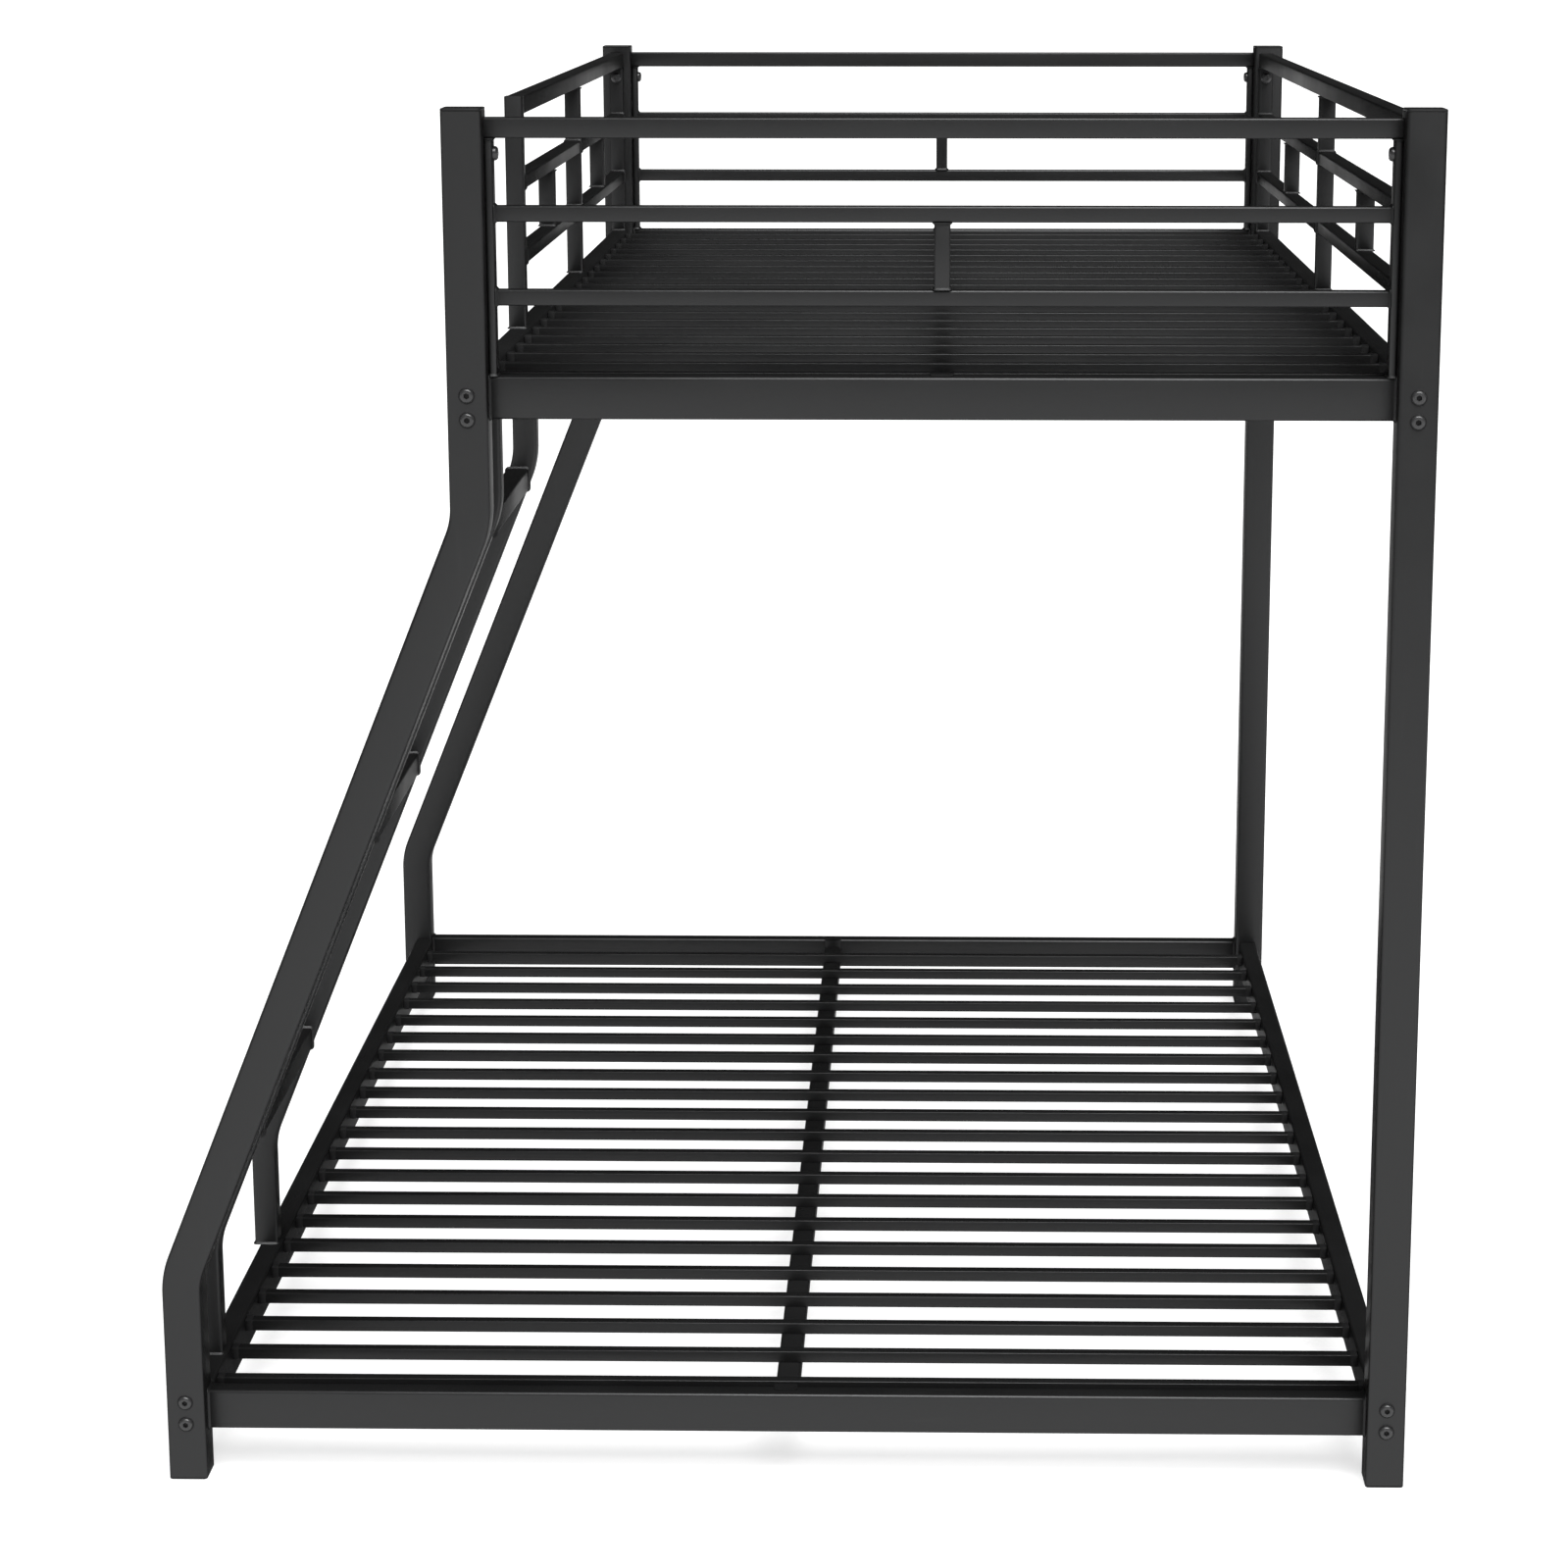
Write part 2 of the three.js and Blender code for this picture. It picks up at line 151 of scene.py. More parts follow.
class SlatSizes(bpy.types.PropertyGroup):
    """Slats of both decks."""

    count: bpy.props.IntProperty(
        name="Slats", description="Slats in each deck",
        default=21, min=2,
    )
    first: bpy.props.FloatProperty(
        name="First slat", description="From the near posts to the first slat's middle",
        default=22.5 * MM, unit="LENGTH",
    )
    width: bpy.props.FloatProperty(
        name="Width", description="Along the bed",
        default=15 * MM, unit="LENGTH",
    )
    height: bpy.props.FloatProperty(
        name="Height", description="Height of a slat",
        default=14 * MM, unit="LENGTH",
    )
    corner: bpy.props.FloatProperty(
        name="Corner", description="Radius of a slat's corners",
        default=0.8 * MM, unit="LENGTH",
    )
    bar_width: bpy.props.FloatProperty(
        name="Bar width", description="Width of the bar under the slats",
        default=28 * MM, unit="LENGTH",
    )
    hook: bpy.props.FloatProperty(
        name="Hook plate", description="Width of the plate that hooks a bar over a crossbar",
        default=27 * MM, unit="LENGTH",
    )
    plug: bpy.props.FloatProperty(
        name="End plug", description="Length of the plug at a slat's end",
        default=9 * MM, unit="LENGTH",
    )


class BoltSizes(bpy.types.PropertyGroup):
    """Heads of the bolts, and the thin black rings under them that paint the shade round each head."""

    head: bpy.props.FloatProperty(
        name="Head", description="Radius of a frame bolt's head",
        default=8 * MM, unit="LENGTH",
    )
    proud: bpy.props.FloatProperty(
        name="Proud", description="Height of a frame bolt's head",
        default=3.6 * MM, unit="LENGTH",
    )
    socket: bpy.props.FloatProperty(
        name="Socket", description="Radius of the hex socket",
        default=3.5 * MM, unit="LENGTH",
    )
    # The washer is a thin black ring that stands in for the shadow round each bolt head: painted shade.
    shade_ring: bpy.props.FloatProperty(
        name="Washer", description="Radius of a black washer",
        default=9.4 * MM, unit="LENGTH",
    )
    spacing: bpy.props.FloatProperty(
        name="Spacing", description="Between the two bolts of a rail's end",
        default=27.3 * MM, unit="LENGTH",
    )
    lower_drop: bpy.props.FloatProperty(
        name="Lower drop", description="From a lower rail's top to its upper bolt",
        default=10.3 * MM, unit="LENGTH",
    )
    upper_drop: bpy.props.FloatProperty(
        name="Upper drop", description="From an upper rail's top to its upper bolt",
        default=19 * MM, unit="LENGTH",
    )
    dome: bpy.props.FloatProperty(
        name="Dome", description="Radius of a crossbar bolt's dome",
        default=6.5 * MM, unit="LENGTH",
    )
    dome_proud: bpy.props.FloatProperty(
        name="Dome height", description="Height of that dome",
        default=1.4 * MM, unit="LENGTH",
    )
    guard_proud: bpy.props.FloatProperty(
        name="Guard bolt proud", description="Height of a guard bolt's head",
        default=5.5 * MM, unit="LENGTH",
    )
    guard_height: bpy.props.FloatProperty(
        name="Guard bolt height", description="Height of the guards' bolts above the floor",
        default=1.5585, unit="LENGTH",
    )


class Finishes(bpy.types.PropertyGroup):
    """Colours of the finishes and of the floor."""

    coat: bpy.props.FloatVectorProperty(
        name="Powder coat", description="Base colour of the coated steel",
        subtype="COLOR", size=4, default=(0.033, 0.0332, 0.0336, 1.0),
    )
    coat_worn: bpy.props.FloatVectorProperty(
        name="Rubbed coat", description="Colour where the coat is rubbed or dusty",
        subtype="COLOR", size=4, default=(0.048, 0.0482, 0.0486, 1.0),
    )
    plastic: bpy.props.FloatVectorProperty(
        name="Plastic", description="Base colour of the caps, feet and plugs",
        subtype="COLOR", size=4, default=(0.003, 0.003, 0.0032, 1.0),
    )
    plastic_worn: bpy.props.FloatVectorProperty(
        name="Rubbed plastic", description="Colour where the plastic is rubbed or dusty",
        subtype="COLOR", size=4, default=(0.012, 0.012, 0.0122, 1.0),
    )
    bolt: bpy.props.FloatVectorProperty(
        name="Bolt", description="Base colour of the blackened bolts",
        subtype="COLOR", size=4, default=(0.02, 0.02, 0.021, 1.0),
    )
    bolt_worn: bpy.props.FloatVectorProperty(
        name="Rubbed bolt", description="Colour where a bolt is rubbed",
        subtype="COLOR", size=4, default=(0.07, 0.07, 0.07, 1.0),
    )
    floor: bpy.props.FloatVectorProperty(
        name="Floor", description="Colour of the floor",
        subtype="COLOR", size=4, default=(0.86, 0.86, 0.86, 1.0),
    )


# ---------------------------------------------------------------- shader groups


def new_group(name, inputs, outputs):
    """A shader node group with its sockets, and its input and output nodes."""
    group = bpy.data.node_groups.new(name, "ShaderNodeTree")
    for label, kind, value in inputs:
        socket = group.interface.new_socket(name=label, in_out="INPUT", socket_type=kind)
        if value is not None:
            socket.default_value = value
    for label, kind in outputs:
        group.interface.new_socket(name=label, in_out="OUTPUT", socket_type=kind)
    return group, group.nodes.new("NodeGroupInput"), group.nodes.new("NodeGroupOutput")


def maths(tree, operation, first, second):
    """A maths node on two sockets or numbers, and its result."""
    node = tree.nodes.new("ShaderNodeMath")
    node.operation = operation
    for socket, value in zip(node.inputs, (first, second)):
        if isinstance(value, (int, float)):
            socket.default_value = value
        else:
            tree.links.new(value, socket)
    return node.outputs[0]


def noise(tree, place, scale, detail, roughness=0.5):
    """A noise texture at a place, and its value."""
    node = tree.nodes.new("ShaderNodeTexNoise")
    node.inputs["Detail"].default_value = detail
    node.inputs["Roughness"].default_value = roughness
    tree.links.new(place, node.inputs["Vector"])
    if isinstance(scale, (int, float)):
        node.inputs["Scale"].default_value = scale
    else:
        tree.links.new(scale, node.inputs["Scale"])
    return node.outputs[0]


def orange_peel():
    """The rippled skin of a sprayed or moulded surface: a height, and a value that varies broadly."""
    group, given, result = new_group(
        "Orange peel",
        [
            ("Place", "NodeSocketVector", None),
            ("Ripple Scale", "NodeSocketFloat", 420.0),
            ("Grain", "NodeSocketFloat", 0.3),
        ],
        [("Height", "NodeSocketFloat"), ("Broad", "NodeSocketFloat")],
    )
    ripple = noise(group, given.outputs["Place"], given.outputs["Ripple Scale"], 2.0)
    fine_scale = maths(group, "MULTIPLY", given.outputs["Ripple Scale"], 4.5)
    grain = noise(group, given.outputs["Place"], fine_scale, 1.0)
    grained = maths(group, "MULTIPLY", grain, given.outputs["Grain"])
    group.links.new(maths(group, "ADD", ripple, grained), result.inputs["Height"])
    group.links.new(noise(group, given.outputs["Place"], 5.5, 4.0, 0.6), result.inputs["Broad"])
    return group


def settled_dust():
    """A mask of the thin dust on faces that look up, broken up by noise."""
    group, given, result = new_group(
        "Settled dust",
        [("Place", "NodeSocketVector", None), ("Amount", "NodeSocketFloat", 0.3)],
        [("Mask", "NodeSocketFloat")],
    )
    geometry = group.nodes.new("ShaderNodeNewGeometry")
    split = group.nodes.new("ShaderNodeSeparateXYZ")
    group.links.new(geometry.outputs["Normal"], split.inputs[0])
    up = maths(group, "MAXIMUM", split.outputs["Z"], 0.0)
    steep = maths(group, "POWER", up, 3.0)
    patches = noise(group, given.outputs["Place"], 24.0, 6.0, 0.65)
    broken = maths(group, "MULTIPLY", steep, patches)
    group.links.new(maths(group, "MULTIPLY", broken, given.outputs["Amount"]), result.inputs["Mask"])
    return group


def handling_marks():
    """A mask of faint rub marks, thin and drawn out along one direction."""
    group, given, result = new_group(
        "Handling marks",
        [
            ("Place", "NodeSocketVector", None),
            ("Stretch", "NodeSocketVector", (60.0, 60.0, 6.0)),
            ("Amount", "NodeSocketFloat", 0.2),
        ],
        [("Mask", "NodeSocketFloat")],
    )
    drawn = group.nodes.new("ShaderNodeVectorMath")
    drawn.operation = "MULTIPLY"
    group.links.new(given.outputs["Place"], drawn.inputs[0])
    group.links.new(given.outputs["Stretch"], drawn.inputs[1])
    streaks = noise(group, drawn.outputs[0], 1.0, 5.0, 0.7)
    ramp = group.nodes.new("ShaderNodeMapRange")
    ramp.inputs["From Min"].default_value = 0.6
    ramp.inputs["From Max"].default_value = 0.8
    group.links.new(streaks, ramp.inputs["Value"])
    faint = maths(group, "MULTIPLY", ramp.outputs[0], given.outputs["Amount"])
    group.links.new(faint, result.inputs["Mask"])
    return group


# ---------------------------------------------------------------- finishes


def placed_group(tree, name, place, **values):
    """A node group in a material, fed with the place, with its other inputs set."""
    node = tree.nodes.new("ShaderNodeGroup")
    node.node_tree = bpy.data.node_groups[name]
    tree.links.new(place, node.inputs["Place"])
    for label, value in values.items():
        node.inputs[label.replace("_", " ")].default_value = value
    return node


def finish_material(
    name, base, worn, roughness, spread, metallic, specular, edge, peel, dust, marks, bump
):
    """A finish: dust and rubbing lift its colour, and its skin ripples.

    Edge is the tint of its gloss at shallow angles, and a dark one keeps it matt there.
    """
    material = bpy.data.materials.new(name)
    material.use_nodes = True
    material.diffuse_color = base
    tree = material.node_tree
    shader = tree.nodes["Principled BSDF"]
    shader.inputs["Metallic"].default_value = metallic
    shader.inputs["Specular IOR Level"].default_value = specular
    shader.inputs["Specular Tint"].default_value = (edge, edge, edge, 1.0)
    place = tree.nodes.new("ShaderNodeTexCoord").outputs["Object"]
    skin = placed_group(tree, "Orange peel", place, Ripple_Scale=peel[0], Grain=peel[1])
    dusty = placed_group(tree, "Settled dust", place, Amount=dust)
    rubbed = placed_group(tree, "Handling marks", place, Stretch=marks[0], Amount=marks[1])

    lift = maths(tree, "ADD", dusty.outputs[0], rubbed.outputs[0])
    tone = maths(tree, "MULTIPLY", skin.outputs["Broad"], 0.35)
    mix = tree.nodes.new("ShaderNodeMix")
    mix.data_type = "RGBA"
    mix.inputs["A"].default_value = base
    mix.inputs["B"].default_value = worn
    tree.links.new(maths(tree, "MINIMUM", maths(tree, "ADD", lift, tone), 1.0), mix.inputs["Factor"])
    tree.links.new(mix.outputs["Result"], shader.inputs["Base Color"])

    ramp = tree.nodes.new("ShaderNodeMapRange")
    ramp.inputs["From Min"].default_value = 0.3
    ramp.inputs["From Max"].default_value = 0.7
    ramp.inputs["To Min"].default_value = roughness - spread
    ramp.inputs["To Max"].default_value = roughness + spread
    tree.links.new(skin.outputs["Broad"], ramp.inputs["Value"])
    dulled = maths(tree, "MULTIPLY", lift, 0.25)
    tree.links.new(maths(tree, "ADD", ramp.outputs[0], dulled), shader.inputs["Roughness"])

    height = tree.nodes.new("ShaderNodeBump")
    height.inputs["Strength"].default_value = bump
    height.inputs["Distance"].default_value = 0.2 * MM
    tree.links.new(skin.outputs["Height"], height.inputs["Height"])
    tree.links.new(height.outputs["Normal"], shader.inputs["Normal"])
    return material


def make_finishes():
    """All the finishes of the bed, by name."""
    colours = bpy.context.scene.bunk_finishes
    orange_peel()
    settled_dust()
    handling_marks()
    coat, worn = tuple(colours.coat), tuple(colours.coat_worn)
    upright, lengthwise, across = (70, 70, 5), (70, 5, 70), (5, 70, 70)
    satin = {"metallic": 0.88, "specular": 0.1, "edge": 0.27}
    coated = {
        "base": coat, "worn": worn, "roughness": 0.4, "spread": 0.05, "peel": (420, 0.25),
        "dust": 0.14, "bump": 0.3, **satin,
    }
    finish_material("powder_coat_upright", marks=(upright, 0.25), **coated)
    finish_material("powder_coat_lengthwise", marks=(lengthwise, 0.25), **coated)
    finish_material("powder_coat_across", marks=(across, 0.25), **coated)
    finish_material(
        "weld_seam", coat, worn, roughness=0.45, spread=0.08, peel=(1100, 0.5), dust=0.2,
        marks=(upright, 0.1), bump=0.9, **satin,
    )
    finish_material(
        "moulded_plastic", tuple(colours.plastic), tuple(colours.plastic_worn), roughness=0.52,
        spread=0.05, metallic=0.0, specular=0.2, edge=1.0, peel=(1600, 0.6), dust=0.3,
        marks=(upright, 0.15), bump=0.35,
    )
    finish_material(
        "blackened_bolt", tuple(colours.bolt), tuple(colours.bolt_worn), roughness=0.3, spread=0.05,
        metallic=0.35, specular=0.5, edge=1.0, peel=(900, 0.3), dust=0.1, marks=(upright, 0.3),
        bump=0.15,
    )


# ---------------------------------------------------------------- modelling by hand


def block(name, low, high):
    """A block between two corners, with its place in its mesh, alone selected and active."""
    bpy.ops.object.select_all(action="DESELECT")
    low, high = Vector(low), Vector(high)
    bpy.ops.mesh.primitive_cube_add(size=1, location=(low + high) / 2, scale=high - low)
    bpy.ops.object.transform_apply(location=True, rotation=True, scale=True)
    piece = bpy.context.object
    piece.name = name
    return piece


def clear_choice(mesh):
    """Deselects every part of a mesh."""
    for parts in (mesh.vertices, mesh.edges, mesh.polygons):
        parts.foreach_set("select", [False] * len(parts))


def edit_faces(piece, test):
    """Enters edit mode with the faces that pass the test selected."""
    clear_choice(piece.data)
    for face in piece.data.polygons:
        face.select = test(face)
    bpy.context.tool_settings.mesh_select_mode = (False, False, True)
    bpy.ops.object.mode_set(mode="EDIT")


def edit_edges(piece, test):
    """Enters edit mode with the edges whose two ends pass the test selected."""
    mesh = piece.data
    clear_choice(mesh)
    for edge in mesh.edges:
        first, second = (mesh.vertices[i].co for i in edge.vertices)
        edge.select = test(first, second)
    bpy.context.tool_settings.mesh_select_mode = (False, True, False)
    bpy.ops.object.mode_set(mode="EDIT")


def end_edit():
    """Leaves edit mode."""
    bpy.ops.object.mode_set(mode="OBJECT")


def along(axis):
    """A test for edges that run along an axis."""
    return lambda first, second: abs((second - first).normalized()[axis]) > 0.99


def at_height(axis, value, reach=0.05 * MM):
    """A test for edges that lie in the plane at a value along an axis."""
    return lambda first, second: abs(first[axis] - value) < reach and abs(second[axis] - value) < reach


def bevel(offset, segments, profile=0.5):
    """Bevels the selected edges."""
    bpy.ops.mesh.bevel(offset=offset, segments=segments, profile=profile, affect="EDGES")


def tube(name, run, low, high, corner):
    """A tube that fills a box, runs along one axis and has round corners and eased ends."""
    steps = bpy.context.scene.bunk_tubes.corner_steps
    axis = AXES[run]
    piece = block(name, low, high)
    edit_edges(piece, along(axis))
    bevel(corner, steps)
    end_edit()
    for value in (low[axis], high[axis]):
        edit_edges(piece, at_height(axis, value))
        bevel(TUBE_END_EASE, 2)
        end_edit()
    return piece


def collar(run, low, high, at_high, corner):
    """A weld seam round one end of a tube: a collar with a hollow slope, widest at the end."""
    sizes = bpy.context.scene.bunk_tubes
    axis, reach = AXES[run], sizes.seam
    low, high = Vector(low), Vector(high)
    grown_low, grown_high = low - Vector((reach,) * 3), high + Vector((reach,) * 3)
    if at_high:
        grown_low[axis], grown_high[axis] = high[axis] - reach * 1.1, high[axis] + SEAM_SINK
    else:
        grown_low[axis], grown_high[axis] = low[axis] - SEAM_SINK, low[axis] + reach * 1.1
    inner = grown_low[axis] if at_high else grown_high[axis]
    piece = block("seam", grown_low, grown_high)
    edit_edges(piece, along(axis))
    bevel(corner + reach, 4)
    end_edit()
    edit_edges(piece, at_height(axis, inner))
    bevel(reach, 3, profile=0.25)
    end_edit()
    return piece


def copies(piece, moves):
    """The piece and a copy of it at each move, each with its own mesh."""
    made = [piece]
    for move in moves:
        bpy.ops.object.select_all(action="DESELECT")
        piece.select_set(True)
        bpy.context.view_layer.objects.active = piece
        bpy.ops.object.duplicate(linked=False)
        bpy.ops.transform.translate(value=move)
        made.append(bpy.context.object)
    return made


def joined(name, pieces):
    """Joins pieces into one, with its origin and turn cleared."""
    bpy.ops.object.select_all(action="DESELECT")
    for piece in pieces:
        piece.select_set(True)
    bpy.context.view_layer.objects.active = pieces[0]
    if len(pieces) > 1:
        bpy.ops.object.join()
    bpy.ops.object.transform_apply(location=True, rotation=True, scale=True)
    whole = bpy.context.object
    whole.name = name
    whole.data.name = name
    return whole


def finished(piece, material, slot, *nodes):
    """Smooths a piece, gives it its finish and ties it to the frame."""
    bpy.ops.object.select_all(action="DESELECT")
    piece.select_set(True)
    bpy.context.view_layer.objects.active = piece
    bpy.ops.object.mode_set(mode="EDIT")
    bpy.ops.mesh.select_all(action="SELECT")
    bpy.ops.mesh.normals_make_consistent(inside=False)
    end_edit()
    bpy.ops.object.shade_smooth_by_angle(angle=math.radians(40))
    if material not in bpy.data.materials:
        make_finishes()
    piece.data.materials.clear()
    piece.data.materials.append(bpy.data.materials[material])
    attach(piece, "root")
    if nodes:
        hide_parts(*nodes)
    return piece


def bent_tube(name, low, high, width, corner):
    """A tube that rises at the left of a box, leans over between the two bends and rises at its right."""
    sizes = bpy.context.scene.bunk_tubes
    low, high = Vector(low), Vector(high)
    lean = high.x - low.x - width
    angle = math.atan2(lean, sizes.upper_bend - sizes.lower_bend)
    radius = sizes.bend_radius
    setback = radius * math.tan(angle / 2)
    start = sizes.lower_bend - setback
    piece = block(name, low, (low.x + width, high.y, start))
    edit_edges(piece, along(2))
    bevel(corner, sizes.corner_steps)
    end_edit()

    middle = (low.y + high.y) / 2
    centre = low.x + width / 2
    slope = math.hypot(lean, sizes.upper_bend - sizes.lower_bend) - 2 * setback
    edit_faces(piece, lambda face: face.normal.z > 0.9)
    bpy.ops.mesh.spin(
        steps=sizes.bend_steps, angle=angle, center=(centre + radius, middle, start), axis=(0, -1, 0)
    )
    bpy.ops.mesh.extrude_region_move(
        TRANSFORM_OT_translate={"value": (slope * math.sin(angle), 0, slope * math.cos(angle))}
    )
    finish = sizes.upper_bend + setback
    bpy.ops.mesh.spin(
        steps=sizes.bend_steps, angle=angle, center=(centre + lean - radius, middle, finish), axis=(0, 1, 0)
    )
    bpy.ops.mesh.extrude_region_move(TRANSFORM_OT_translate={"value": (0, 0, high.z - finish)})
    end_edit()
    return piece


# ---------------------------------------------------------------- the pieces


class BUNK_OT_posts(bpy.types.Operator):
    """Model the two straight posts and the two bent posts"""

    bl_idname = "bunk.posts"
    bl_label = "Posts"

    def execute(self, context):
        corner = context.scene.bunk_tubes.post_corner
        for end in ENDS:
            straight = f"post_{end}_right"
            low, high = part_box(straight)
            width = high.x - low.x
            post = tube(f"straight_post_{end}", "z", low, high, corner)
            finished(post, "powder_coat_upright", "steel", straight)
            bent = f"post_{end}_left"
            post = bent_tube(f"bent_post_{end}", *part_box(bent), width, corner)
            finished(post, "powder_coat_upright", "steel", bent)
        return {"FINISHED"}


class BUNK_OT_caps(bpy.types.Operator):
    """Model the caps in the tops of the posts and the feet under them"""

    bl_idname = "bunk.caps"
    bl_label = "Caps and feet"

    def execute(self, context):
        corner = context.scene.bunk_tubes.post_corner
        for end in ENDS:
            for side in SIDES:
                node = f"cap_{end}_{side}"
                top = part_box(node)[1].z
                flange = (top - CAP_FLANGE, top)
                self.plug(f"post_cap_{end}_{side}", node, flange, top, CAP_EASE, corner)
                node = f"foot_{end}_{side}"
                flange = (0, FOOT_FLANGE)
                self.plug(f"post_foot_{end}_{side}", node, flange, 0, FOOT_EASE, corner)
        return {"FINISHED"}

    def plug(self, name, node, flange, rim, ease, corner):
        """A flange with its outer rim eased, and a ribless stem that reaches into the tube."""
        low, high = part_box(node)
        plate = block(name, (low.x, low.y, flange[0]), (high.x, high.y, flange[1]))
        edit_edges(plate, along(2))
        bevel(corner, 5)
        end_edit()
        edit_edges(plate, at_height(2, rim))
        bevel(ease, 4)
        end_edit()
        inset = Vector((STEM_INSET, STEM_INSET, MM))
        stem = block("stem", low + inset, high - inset)
        edit_edges(stem, along(2))
        bevel(STEM_CORNER, 3)
        end_edit()
        finished(joined(name, [plate, stem]), "moulded_plastic", "plastic", node)


class BUNK_OT_bars(bpy.types.Operator):
    """Model the crossbars of the end frames and the side rails"""

    bl_idname = "bunk.bars"
    bl_label = "Crossbars and side rails"

    def execute(self, context):
        corner = context.scene.bunk_tubes.bar_corner
        for deck in DECKS:
            for end in ENDS:
                node = f"crossbar_{end}_{deck}"
                low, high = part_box(node)
                bar = tube(f"crossbar_tube_{end}_{deck}", "x", low, high, corner)
                seams = [collar("x", low, high, at_high, corner) for at_high in (False, True)]
                finished(bar, "powder_coat_across", "steel", node)
                finished(joined(f"crossbar_seams_{end}_{deck}", seams), "weld_seam", "steel")
            for side in SIDES:
                node = f"rail_{deck}_{side}"
                rail = tube(f"side_rail_{deck}_{side}", "y", *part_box(node), corner)
                finished(rail, "powder_coat_lengthwise", "steel", node)
        return {"FINISHED"}


class BUNK_OT_slats(bpy.types.Operator):
    """Model the slats of both decks, the bars beneath them and their hook plates"""

    bl_idname = "bunk.slats"
    bl_label = "Slats"

    def execute(self, context):
        sizes = context.scene.bunk_slats
        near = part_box("post_near_right")[1].y
        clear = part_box("post_far_right")[0].y - near
        steps = [Vector((0, i * clear / sizes.count, 0)) for i in range(1, sizes.count)]
        for deck in DECKS:
            low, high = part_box(f"slats_{deck}")
            first = near + sizes.first
            slat_low = Vector((low.x, first - sizes.width / 2, high.z - sizes.height))
            slat_high = Vector((high.x, first + sizes.width / 2, high.z))
            slats = copies(tube(f"slat_{deck}", "x", slat_low, slat_high, sizes.corner), steps)
            finished(joined(f"slat_tubes_{deck}", slats), "powder_coat_across", "steel", f"slats_{deck}")
            self.plugs(deck, slat_low, slat_high, steps)
            self.bar(deck, low, high)
        return {"FINISHED"}

    def plugs(self, deck, low, high, steps):
        """The moulded ends that hold the slats to the rails."""
        sizes = bpy.context.scene.bunk_slats
        grown = Vector((0, SLAT_PLUG_WALL, SLAT_PLUG_WALL))
        ends = []
        for start, finish in ((low.x, low.x + sizes.plug), (high.x - sizes.plug, high.x)):
            plug_low, plug_high = low - grown, high + Vector((0, SLAT_PLUG_WALL, SLAT_PLUG_RISE))
            plug_low.x, plug_high.x = start, finish
            plug = block("plug", plug_low, plug_high)
            edit_edges(plug, lambda first, second: True)
            bevel(SLAT_PLUG_CORNER, 2)
            end_edit()
            ends += copies(plug, steps)
        finished(joined(f"slat_plugs_{deck}", ends), "moulded_plastic", "plastic")

    def bar(self, deck, low, high):
        """The bar beneath the slats, with a plate at each end that hooks over the crossbar."""
        sizes = bpy.context.scene.bunk_slats
        crossbar_low, crossbar_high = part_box(f"crossbar_near_{deck}")
        middle = (crossbar_low.x + crossbar_high.x) / 2
        half, plate_half = sizes.bar_width / 2, sizes.hook / 2
        cheek_half = plate_half - CHEEK_INSET
        top = high.z - sizes.height
        corner = bpy.context.scene.bunk_tubes.bar_corner
        parts = [tube("bar", "y", (middle - half, low.y, low.z), (middle + half, high.y, top), corner)]
        for start, inward in ((low.y, 1), (high.y, -1)):
            edge = sorted((start - inward * HOOK_REACH, start + inward * CHEEK_END))
            plate_low = (middle - plate_half, edge[0], high.z)
            plate = block("hook", plate_low, (middle + plate_half, edge[1], high.z + HOOK_PLATE))
            edit_edges(plate, along(2))
            bevel(HOOK_CORNER, 3)
            end_edit()
            fall = sorted((start + inward * CHEEK_START, start + inward * CHEEK_END))
            cheek_low = (middle - cheek_half, fall[0], top - CHEEK_FALL)
            cheek = block("cheek", cheek_low, (middle + cheek_half, fall[1], high.z + HOOK_LAP))
            edit_edges(cheek, along(2))
            bevel(CHEEK_CORNER, 2)
            end_edit()
            parts += [plate, cheek]
        finished(joined(f"centre_bar_{deck}", parts), "powder_coat_lengthwise", "steel")


class BUNK_OT_ladder(bpy.types.Operator):
    """Model the ladder's stiles, rungs and weld seams"""

    bl_idname = "bunk.ladder"
    bl_label = "Ladder"

    def execute(self, context):
        sizes = context.scene.bunk_tubes
        corner, width = sizes.bar_corner, sizes.stile_width
        rungs = [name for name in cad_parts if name.startswith("ladder_rung_")]
        seams = []
        for end in ENDS:
            node = f"ladder_stile_{end}"
            low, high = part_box(node)
            stile = bent_tube(f"stile_{end}", low, high, width, corner)
            finished(stile, "powder_coat_upright", "steel", node)
            seams.append(collar("z", low, (low.x + width, high.y, high.z), False, corner))
            seams.append(collar("z", (high.x - width, low.y, low.z), high, True, corner))
        for node in sorted(rungs):
            low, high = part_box(node)
            rung = tube(node.replace("ladder_", "") + "_tube", "y", low, high, corner)
            finished(rung, "powder_coat_lengthwise", "steel", node)
            seams += [collar("y", low, high, at_high, corner) for at_high in (False, True)]
        finished(joined("ladder_seams", seams), "weld_seam", "steel")
        return {"FINISHED"}


def run_of(low, high):
    """The axis a tube's box is longest along."""
    size = high - low
    return "xyz"[max(range(3), key=lambda axis: size[axis])]


